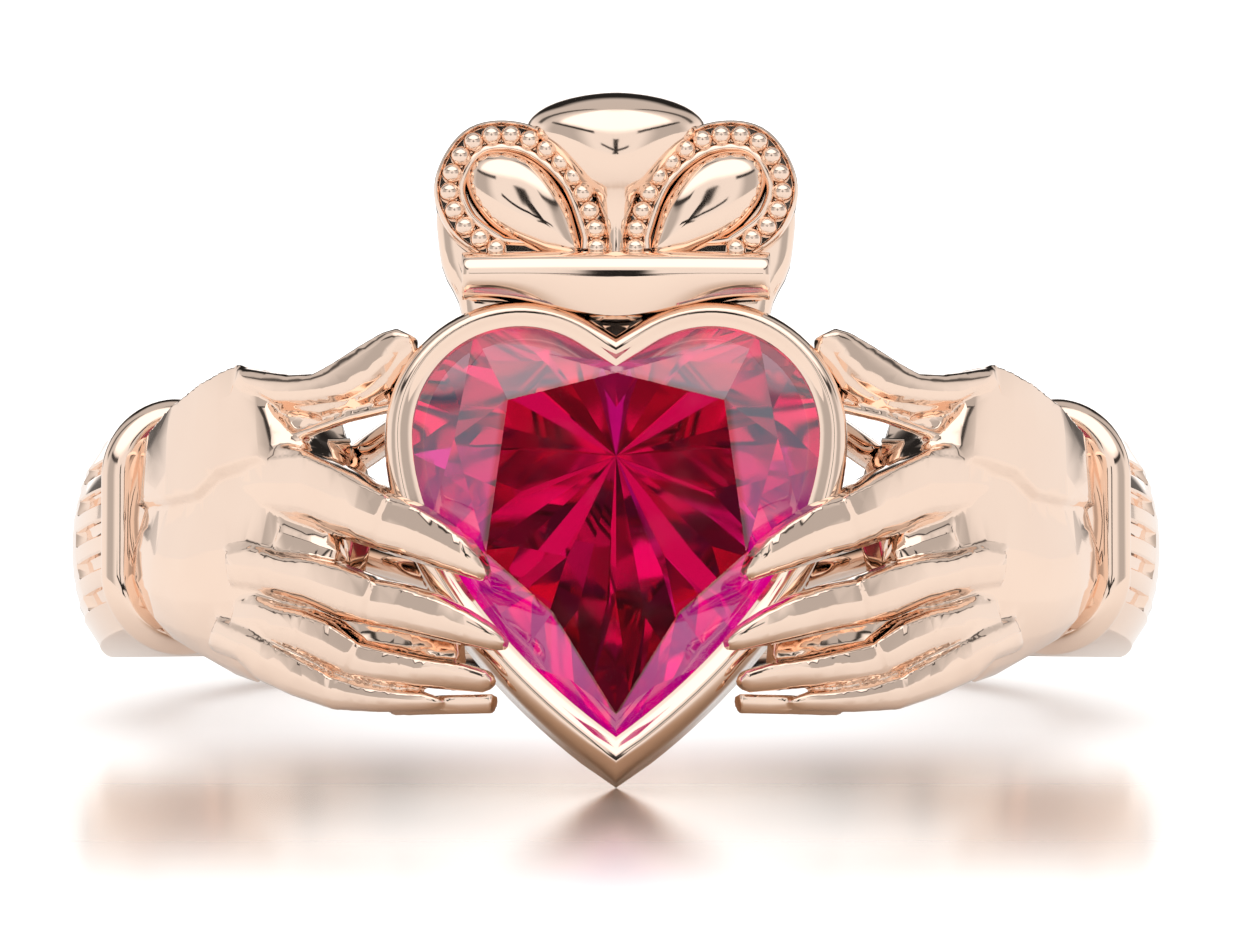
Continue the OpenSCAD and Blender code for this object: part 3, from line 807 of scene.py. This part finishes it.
def crown_bar():
    """Bar under the petals, round above and below its middle, with rounded ends."""
    top = CROWN_Z - 0.02
    middle = CROWN_Z - 0.5
    front = 0.02 - REACH
    back = 0.5 - REACH
    rings = []
    for i in range(49):
        x = -CROWN_BAR_HALF_W * math.cos(math.pi * i / 48)
        past = max(0.0, abs(x) - CROWN_BAR_HALF_W + CROWN_BAR_END) / CROWN_BAR_END
        end = lerp(0.72, 1, math.sqrt(max(0.0, 1 - past**2)))
        foot = bar_foot(x)
        bow = 0.16 * (1 - (x / CROWN_BAR_HALF_W) ** 2)
        ring = []
        for s in np.linspace(1, -1, 29):
            if s > 0:
                rise = top - middle
                out = CROWN_BAR_BULGE * (1 - s**2.6) ** 0.75
            else:
                rise = middle - foot
                out = CROWN_BAR_BULGE * (1 - abs(s) ** 1.5)
            ring.append((x, -REACH - bow - out * end, middle + rise * s * lerp(0.9, 1, end)))
        ring += [(x, front, foot - 0.02), (x, back, foot - 0.02), (x, back, CROWN_Z - 0.05)]
        rings.append(ring)
    return Form().loft(rings)


def crown_back():
    """Plate behind the petals, and the smaller plates that carry it on the heart."""
    line = [crown_point(*p) for p in BACK_LINE]
    left = [spline(line, i / 14) for i in range(15)]
    foot = [np.array([x, bar_foot(x) - 0.1]) for x in np.linspace(-2.6, 2.6, 27)]
    outline = left[::-1] + foot + [p * [-1, 1] for p in left]
    rings = [[(x * size, depth - REACH, z) for x, z in outline] for size, depth in BACK_ROWS]
    form = Form().loft(rings)
    form.loft([[(x, depth - REACH, z) for x, z in CLEFT_WEB] for depth in CLEFT_WEB_DEPTHS])
    for side in (-1, 1):
        form.loft([
            [(side * x * size, depth - REACH, z) for x, z in CLEFT_PLATE]
            for size, depth in CLEFT_PLATE_ROWS
        ])
    return form


# Left hand, from the wrist on. Columns: upper edge, ridge and lower edge of a section, each a place
# (x, z) in the front view, its thickness, and the lift of its ridge above the sweep
THUMB = [
    ((-8.0, 1.9), (-7.7, 1.7), (-7.5, 1.2), 0.5, -0.35),
    ((-7.42, 2.53), (-7.2, 1.95), (-7.1, 1.35), 0.55, 0.0),
    ((-6.97, 2.38), (-6.82, 1.72), (-6.67, 1.55), 0.5, 0),
    ((-6.43, 2.22), (-6.37, 1.66), (-6.25, 1.43), 0.42, 0),
    ((-5.95, 2.18), (-5.89, 1.67), (-5.83, 1.28), 0.4, 0),
    ((-5.54, 2.37), (-5.38, 1.68), (-5.32, 1.36), 0.4, 0),
    ((-5.0, 2.66), (-4.97, 1.87), (-4.85, 1.5), 0.4, 0),
    ((-4.59, 2.85), (-4.59, 2.18), (-4.47, 1.73), 0.36, 0),
    ((-4.3, 2.9), (-4.31, 2.59), (-4.18, 2.11), 0.3, -0.05),
    ((-4.03, 2.74), (-4.07, 2.66), (-3.95, 2.38), 0.2, -0.12),
]
INDEX = [
    ((-7.4, 0.9), (-7.4, 0.45), (-7.3, -0.4), 0.5, -0.14),
    ((-6.82, 0.98), (-6.88, 0.53), (-6.8, -0.62), 0.6, 0.02),
    ((-6.18, 0.68), (-6.18, 0.47), (-5.97, -0.9), 0.62, 0.3),
    ((-5.59, 0.34), (-5.59, 0.15), (-5.4, -1.2), 0.62, 0.42),
    ((-5.08, 0.04), (-5.05, -0.24), (-4.93, -1.41), 0.6, 0.55),
    ((-4.61, -0.29), (-4.52, -0.53), (-4.67, -1.52), 0.6, 0.6),
    ((-4.54, -0.36), (-4.48, -0.6), (-4.6, -1.56), 0.5, 0.52),
    ((-4.12, -0.55), (-4.0, -0.78), (-4.05, -1.77), 0.54, 0.62),
    ((-3.47, -0.99), (-3.42, -1.14), (-3.41, -2.03), 0.48, 0.6),
    ((-2.98, -1.38), (-3.0, -1.51), (-2.92, -2.2), 0.4, 0.62),
    ((-2.65, -1.75), (-2.68, -1.85), (-2.61, -2.3), 0.3, 0.42),
    ((-2.5, -2.03), (-2.53, -2.09), (-2.5, -2.25), 0.18, 0.24),
]
MIDDLE = [
    ((-7.8, -0.98), (-7.8, -1.25), (-7.5, -2.0), 0.4, 0.05),
    ((-7.3, -0.98), (-7.3, -1.22), (-7.05, -2.15), 0.5, 0.08),
    ((-6.68, -1.31), (-6.65, -1.52), (-6.53, -2.26), 0.5, 0.16),
    ((-6.06, -1.48), (-6.05, -1.64), (-6.05, -2.46), 0.52, 0.26),
    ((-5.37, -1.71), (-5.4, -1.88), (-5.4, -2.81), 0.54, 0.34),
    ((-4.75, -2.01), (-4.81, -2.16), (-4.87, -2.99), 0.52, 0.42),
    ((-4.68, -2.07), (-4.74, -2.22), (-4.8, -3.02), 0.44, 0.35),
    ((-4.11, -2.22), (-4.17, -2.37), (-4.28, -3.15), 0.48, 0.45),
    ((-3.41, -2.49), (-3.47, -2.65), (-3.53, -3.37), 0.44, 0.43),
    ((-2.84, -2.82), (-2.89, -2.95), (-2.89, -3.53), 0.38, 0.33),
    ((-2.37, -3.15), (-2.43, -3.24), (-2.43, -3.63), 0.28, 0.13),
    ((-2.15, -3.39), (-2.18, -3.44), (-2.19, -3.62), 0.18, -0.03),
]
RING = [
    ((-7.6, -1.9), (-7.6, -2.2), (-7.5, -3.0), 0.45, -0.15),
    ((-7.1, -2.1), (-7.1, -2.35), (-7.0, -3.1), 0.45, 0.03),
    ((-6.71, -2.36), (-6.71, -2.56), (-6.71, -3.23), 0.45, 0.12),
    ((-6.17, -2.53), (-6.17, -2.71), (-6.14, -3.46), 0.46, 0.16),
    ((-5.63, -2.79), (-5.66, -2.93), (-5.72, -3.71), 0.46, 0.16),
    ((-5.1, -3.18), (-5.13, -3.3), (-5.25, -3.96), 0.44, 0.14),
    ((-5.03, -3.25), (-5.06, -3.37), (-5.18, -3.98), 0.36, 0.07),
    ((-4.52, -3.43), (-4.54, -3.54), (-4.63, -4.13), 0.4, 0.1),
    ((-3.7, -3.66), (-3.73, -3.76), (-3.87, -4.24), 0.36, 0.02),
    ((-3.01, -3.79), (-3.03, -3.87), (-3.12, -4.33), 0.32, -0.18),
    ((-2.55, -3.93), (-2.57, -4.0), (-2.6, -4.38), 0.26, -0.38),
    ((-2.42, -4.08), (-2.43, -4.14), (-2.44, -4.31), 0.16, -0.5),
]
LITTLE = [
    ((-8.0, -2.3), (-8.0, -2.5), (-8.0, -3.1), 0.4, -0.15),
    ((-7.25, -2.76), (-7.31, -2.93), (-7.48, -3.39), 0.4, 0.05),
    ((-6.83, -3.05), (-6.86, -3.19), (-7.11, -3.8), 0.42, 0.06),
    ((-6.29, -3.39), (-6.29, -3.54), (-6.4, -4.19), 0.42, 0.02),
    ((-5.75, -3.75), (-5.72, -3.88), (-5.57, -4.54), 0.4, -0.02),
    ((-5.68, -3.8), (-5.65, -3.93), (-5.5, -4.55), 0.34, -0.08),
    ((-5.04, -4.07), (-4.98, -4.18), (-4.69, -4.66), 0.34, -0.1),
    ((-4.34, -4.24), (-4.31, -4.32), (-4.1, -4.68), 0.28, -0.2),
    ((-3.76, -4.3), (-3.76, -4.38), (-3.64, -4.68), 0.22, -0.32),
    ((-3.42, -4.45), (-3.43, -4.49), (-3.42, -4.63), 0.14, -0.45),
]
# Strip under the little finger
LEDGE = [
    ((-4.4, -4.3), (-4.4, -4.35), (-4.4, -4.72), 0.2, -0.45),
    ((-3.5, -4.36), (-3.5, -4.4), (-3.5, -4.75), 0.2, -0.55),
    ((-2.42, -4.36), (-2.42, -4.4), (-2.42, -4.75), 0.2, -0.9),
]
# Bar between thumb and index finger
PRONG = [
    ((-6.8, 1.02), (-6.75, 0.95), (-6.7, 0.8), 0.3, -0.25),
    ((-5.95, 1.2), (-5.95, 1.12), (-5.95, 1.0), 0.16, -0.3),
    ((-5.3, 1.38), (-5.3, 1.3), (-5.3, 1.16), 0.14, -0.35),
    ((-4.4, 1.52), (-4.4, 1.45), (-4.4, 1.3), 0.14, -0.5),
]
# Skin between the digits: index and middle, thumb and index, middle to little
INDEX_WEB = [
    ((-6.7, -0.2), (-6.7, -0.9), (-6.7, -1.6), 0.4, -0.1),
    ((-6.0, -0.6), (-6.0, -1.2), (-6.0, -1.9), 0.3, -0.22),
    ((-5.5, -0.9), (-5.5, -1.4), (-5.5, -2.1), 0.25, -0.4),
]
POCKET = [
    ((-7.0, 1.9), (-7.0, 1.3), (-7.0, 0.8), 0.3, -0.4),
    ((-6.0, 1.75), (-6.0, 1.4), (-6.0, 1.08), 0.25, -0.5),
    ((-5.2, 1.75), (-5.2, 1.5), (-5.2, 1.27), 0.2, -0.55),
    ((-4.45, 2.2), (-4.45, 1.8), (-4.45, 1.42), 0.2, -0.65),
]
WEB = [
    ((-6.6, -1.6), (-6.6, -2.6), (-6.6, -3.5), 0.4, -0.25),
    ((-5.9, -1.9), (-5.9, -2.8), (-5.9, -3.8), 0.35, -0.35),
    ((-5.0, -2.5), (-5.0, -3.3), (-5.0, -4.1), 0.3, -0.3),
    ((-4.0, -2.8), (-4.0, -3.5), (-4.0, -4.3), 0.3, -0.32),
    ((-3.1, -3.1), (-3.1, -3.6), (-3.1, -4.1), 0.25, -0.45),
]
PALM = [
    ((-9.7, 1.2), (-9.75, 0.3), (-9.4, -1.2), 0.9, -0.9),
    ((-9.78, 1.42), (-9.84, 0.3), (-9.3, -1.5), 0.95, -0.5),
    ((-9.5, 1.68), (-9.6, 0.24), (-9.05, -2.1), 1.1, -0.2),
    ((-9.03, 2.02), (-9.1, 0.12), (-8.7, -2.65), 1.2, -0.06),
    ((-8.4, 2.34), (-8.45, 0.12), (-8.1, -3.1), 1.35, 0.0),
    ((-7.95, 2.5), (-8.0, 0.5), (-7.6, -3.46), 1.4, 0.02),
    ((-7.55, 2.58), (-7.4, 0.6), (-7.2, -3.66), 1.4, 0.02),
    ((-7.2, 2.2), (-7.1, 0.6), (-6.95, -3.62), 1.35, 0.02),
    ((-6.85, 1.5), (-6.85, 0.3), (-6.6, -3.5), 1.25, 0),
    ((-6.5, 1.1), (-6.5, -0.3), (-6.3, -3.4), 1.2, -0.1),
    ((-6.15, 0.8), (-6.15, -0.5), (-6.0, -3.3), 1.1, -0.25),
    ((-5.8, 0.5), (-5.8, -0.6), (-5.6, -3.2), 0.8, -0.55),
]
# Profiles. Columns: way from the upper edge (0) over the ridge (1) to the lower edge (2), bulge as a
# share of the thickness
DIGIT = [
    (0, 0.3), (0.2, 0.62), (0.5, 0.8), (0.9, 0.87), (0.99, 1), (1, 1), (1.4, 0.98), (1.72, 0.8),
    (1.9, 0.46), (2, 0), (1.8, -0.55), (1.3, -0.8), (0.5, -0.6),
]
THUMB_SHAPE = [
    (0, 0.4), (0.08, 0.8), (0.35, 0.97), (0.7, 1), (1, 0.88), (1.35, 0.42), (1.7, 0.3), (2, -0.15),
    (1.8, -0.7), (1, -0.9), (0.3, -0.6),
]
PALM_SHAPE = [
    (0.2, -0.5), (0.03, 0.3), (0, 0.86), (0.3, 0.92), (0.7, 0.97), (0.97, 1), (1, 1), (1.05, 0.87),
    (1.4, 0.93), (1.65, 0.88), (1.83, 0.68), (1.94, 0.38), (2, 0), (1.8, -0.6), (1, -0.95), (0.2, -0.7),
]


def sweep(u):
    """Plan of a hand's back: a curve from the wrist to the fingertips."""
    a = math.radians(COLLAR_ANGLE)
    wrist = -(COLLAR_R + COLLAR_W / 2 - WRIST_INSET) * np.array([math.sin(a), math.cos(a)])
    turn = np.array([-SWEEP_X, SWEEP_BACK - REACH])
    tip = np.array([-FINGERTIP_X, -REACH - FINGERTIP_LIFT])
    return (1 - u) ** 2 * wrist + 2 * (1 - u) * u * turn + u * u * tip


def outward(u):
    """Direction that stands out from the sweep."""
    way = unit(sweep(u + 0.01) - sweep(u - 0.01))
    return np.array([way[1], -way[0]])


def sweep_at(x, depth):
    """Place along the sweep where a point so far under it has this x."""
    low = -0.3
    high = 1.15
    for _ in range(30):
        middle = (low + high) / 2
        if (sweep(middle) - outward(middle) * depth)[0] < x:
            low = middle
        else:
            high = middle
    return low


def hand_loft(sections, shape):
    """Solid through the sections of a table, each with the same profile."""
    rings = []
    # Bulge of the profile at the upper edge, the ridge and the lower edge
    bulges = [max(bulge for way, bulge in shape if way == mark) for mark in range(3)]
    for *edges, thick, lift in sections:
        marks = [
            (sweep_at(x, thick * (1 - bulge) - lift), z)
            for (x, z), bulge in zip(edges, bulges)
        ]
        ring = []
        for way, bulge in shape:
            first = int(min(way, 1.999))
            u = lerp(marks[first][0], marks[first + 1][0], way - first)
            z = lerp(marks[first][1], marks[first + 1][1], way - first)
            x, y = sweep(u) + outward(u) * (lift - thick * (1 - bulge))
            ring.append((x, y, z))
        rings.append(ring)
    return Form().loft(rings)


def hand():
    """Left hand: palm, digits and the skin between them, under one skin."""
    form = hand_loft(PALM, PALM_SHAPE)
    form.join(hand_loft(THUMB, THUMB_SHAPE))
    for digit in (INDEX, MIDDLE, RING, LITTLE, LEDGE, PRONG, INDEX_WEB, POCKET, WEB):
        form.join(hand_loft(digit, DIGIT))
    return skin(form, voxel=0.045, rounds=1, share=0.07)


# Pieces
GOLD = rose_gold()
RUBY = ruby()
piece("shank", shank().on_floor(), GOLD)
pair("sleeve", sleeve(), GOLD, crease=30)
pair("collar", collar(), GOLD)
pair("gallery_bars", gallery(), GOLD)
piece("heart_rim", bezel().on_floor(), GOLD, crease=50)
pair("crown_petal", side_petal(), GOLD)
pair("crown_beads", beads(), GOLD, crease=180)
piece("crown_centre_petal", centre_petal(), GOLD, crease=50)
piece("crown_bar", crown_bar(), GOLD)
piece("crown_back", crown_back(), GOLD)
pair("hand", hand(), GOLD, crease=50)
piece("heart_stone_cut", stone(), RUBY, node="heart_stone", slot="ruby", crease=8)


# Stage
def stage_floor():
    """White floor that softly mirrors the ring, and that the metal sees darker, with painted shade on it."""
    size = 1.5
    corners = [(-size, -size, 0), (size, -size, 0), (size, size, 0), (-size, size, 0)]
    mesh = bpy.data.meshes.new("floor")
    mesh.from_pydata(corners, [], [(0, 1, 2, 3)])
    material, nodes = new_material("pale_floor")
    nodes.remove(nodes["Principled BSDF"])
    n = Nodes(material.node_tree)
    place = n.add("NewGeometry").outputs["Position"]
    x, y = n.add("SeparateXYZ", {0: place}).outputs[:2]
    side = n.math("ABSOLUTE", x)
    # Seen by the camera: a mirror that grows from 32 to 13 mm in front of the ring's middle, and
    # fades out under the ring and to its sides
    mirror = n.math("MULTIPLY", n.ramp(y, -0.032, -0.013, 0.0, 0.88), n.ramp(y, -0.012, 0.0, 1.0, 0.0))
    mirror = n.math("MULTIPLY", mirror, n.ramp(side, 0.01, 0.018, 1.0, 0.0))
    white = n.add("BsdfDiffuse", {"Color": (0.95, 0.95, 0.95, 1)}).outputs[0]
    gloss = n.add("BsdfGlossy", {"Color": (0.97, 0.92, 0.88, 1), "Roughness": 0.2}).outputs[0]
    visible = n.add("MixShader", {0: mirror, 1: white, 2: gloss}).outputs[0]
    # Seen in the metal, painted shade: brown under the heart, dark straight behind the ring, and elsewhere a
    # pale grey, darker than the white that the camera sees
    near = n.add("VectorMath", {0: place, 1: (0, -0.01, 0)}, operation="DISTANCE").outputs["Value"]
    colour = n.colours(n.ramp(near, 0.003, 0.01), (0.34, 0.25, 0.18), (0.62, 0.61, 0.6))
    turn = n.math("ARCTAN2", side, y)
    behind = n.ramp(turn, math.radians(7), math.radians(12))
    colour = n.colours(behind, (0.03, 0.025, 0.02), colour)
    # Diffuse floor that carries the painted shade, shown to glossy rays only
    mirrored = n.add("BsdfDiffuse", {"Color": colour}).outputs[0]
    glossy = n.add("LightPath").outputs["Is Glossy Ray"]
    surface = n.add("MixShader", {0: glossy, 1: visible, 2: mirrored}).outputs[0]
    n.put(nodes["Material Output"].inputs["Surface"], surface)
    mesh.materials.append(material)
    floor = bpy.data.objects.new("floor", mesh)
    bpy.context.scene.collection.objects.link(floor)


# Studio light: brightness where there is no panel, and brightness for matt surfaces
BASE_LIGHT = 0.95
FILL_LIGHT = 1.6
# Columns: middle and half width in degrees round from the front, middle and half height in degrees
# above the horizon, softness of the edge, brightness. A later panel covers an earlier one.
PANELS = [
    (-62, 24, 8, 32, 12, 0.52),
    (62, 24, 8, 32, 12, 0.52),
    (0, 72, 62, 24, 6, 1.5),
    (-54, 30, 32, 2.6, 1.4, 0.05),
    (54, 30, 32, 2.6, 1.4, 0.05),
    (180, 95, 62, 40, 14, 0.6),
    (180, 36, 22, 27, 8, 0.02),
    (180, 32, 0, 17, 8, 0.15),
    (180, 18, 1, 12, 4, 1.4),
    (-108, 6, 50, 30, 4, 0.1),
    (108, 6, 50, 30, 4, 0.1),
]
# Dark star in front of the ring, which the crown mirrors: its height in degrees and its brightness,
# then the turn of each arm in degrees from the right, its length and its half width, as sines
STAR_HEIGHT = 6
STAR_LIGHT = 0.02
STAR_ARMS = [
    (90, 0.36, 0.05),
    (155, 0.36, 0.034),
    (15, 0.32, 0.034),
    (245, 0.4, 0.04),
    (298, 0.36, 0.034),
]


def panel_light(n, toward):
    """Brightness of the studio in a direction."""
    azimuth = n.math("ARCTAN2", toward[0], n.math("MULTIPLY", toward[1], -1.0))
    azimuth = n.math("MULTIPLY", azimuth, 180 / math.pi)
    elevation = n.math("MULTIPLY", n.math("ARCSINE", toward[2]), 180 / math.pi)
    light = BASE_LIGHT
    for middle, half_width, height, half_height, soft, strength in PANELS:
        if middle == 180:
            turned = n.math("SUBTRACT", 180.0, n.math("ABSOLUTE", azimuth))
        else:
            turned = n.math("ABSOLUTE", n.math("SUBTRACT", azimuth, middle))
        raised = n.math("ABSOLUTE", n.math("SUBTRACT", elevation, height))
        across = n.ramp(turned, half_width - soft, half_width + soft, 1.0, 0.0)
        up = n.ramp(raised, half_height - soft, half_height + soft, 1.0, 0.0)
        light = n.mix(n.math("MULTIPLY", across, up), light, strength)
    return light


def with_star(n, toward, light):
    """The same light, with the dark star in front of the ring."""
    tilt = math.radians(STAR_HEIGHT)
    right = Vector((1, 0, 0))
    up = Vector((0, math.sin(tilt), math.cos(tilt)))
    ahead = n.math("LESS_THAN", n.dot(toward, (0, 1, 0)), 0.0)
    for degrees, length, half_width in STAR_ARMS:
        turn = math.radians(degrees)
        out = n.dot(toward, right * math.cos(turn) + up * math.sin(turn))
        off = n.math("ABSOLUTE", n.dot(toward, right * math.sin(turn) - up * math.cos(turn)))
        beside = n.ramp(off, half_width * 0.7, half_width * 1.3, 1.0, 0.0)
        inside = n.math("MULTIPLY", n.ramp(out, length - 0.02, length, 1.0, 0.0), n.ramp(out, -0.03, 0.0))
        arm = n.math("MULTIPLY", n.math("MULTIPLY", beside, inside), ahead)
        light = n.mix(arm, light, STAR_LIGHT)
    return light


def world():
    """Soft studio that shiny surfaces mirror, and an even light for matt ones."""
    made = bpy.data.worlds.new("studio")
    bpy.context.scene.world = made
    made.use_nodes = True
    n = Nodes(made.node_tree)
    toward = n.add("TexCoord").outputs["Generated"]
    light = panel_light(n, n.add("SeparateXYZ", {0: toward}).outputs)
    light = with_star(n, toward, light)
    studio = n.add("Background", {"Color": (1, 1, 1, 1), "Strength": light}).outputs[0]
    fill = n.add("Background", {"Color": (1, 1, 1, 1), "Strength": FILL_LIGHT}).outputs[0]
    diffuse = n.add("LightPath").outputs["Is Diffuse Ray"]
    seen = n.add("MixShader", {0: diffuse, 1: studio, 2: fill}).outputs[0]
    n.put(made.node_tree.nodes["World Output"].inputs["Surface"], seen)
    # So even a light needs no map of its bright places
    made.cycles.sampling_method = "NONE"


def camera():
    """Seven degrees below the ring's mid-plane, 200 mm away, aimed a little above its middle."""
    distance = 200
    view = math.radians(7)
    aim_right = 0.157
    aim_up = 1.745
    image_px = 1247
    focal_px = 9537
    data = bpy.data.cameras.new("camera")
    data.sensor_width = 36
    data.lens = focal_px / image_px * data.sensor_width
    data.clip_start = 0.01
    eye = PLACE @ Vector((0, -distance * math.cos(view), -distance * math.sin(view)))
    target = PLACE @ Vector((aim_right, -aim_up * math.sin(view), aim_up * math.cos(view)))
    made = bpy.data.objects.new("camera", data)
    made.location = eye
    made.rotation_euler = (target - eye).to_track_quat("-Z", "Y").to_euler()
    bpy.context.scene.collection.objects.link(made)
    bpy.context.scene.camera = made


stage_floor()
world()
camera()
bpy.context.scene.view_settings.view_transform = "Standard"
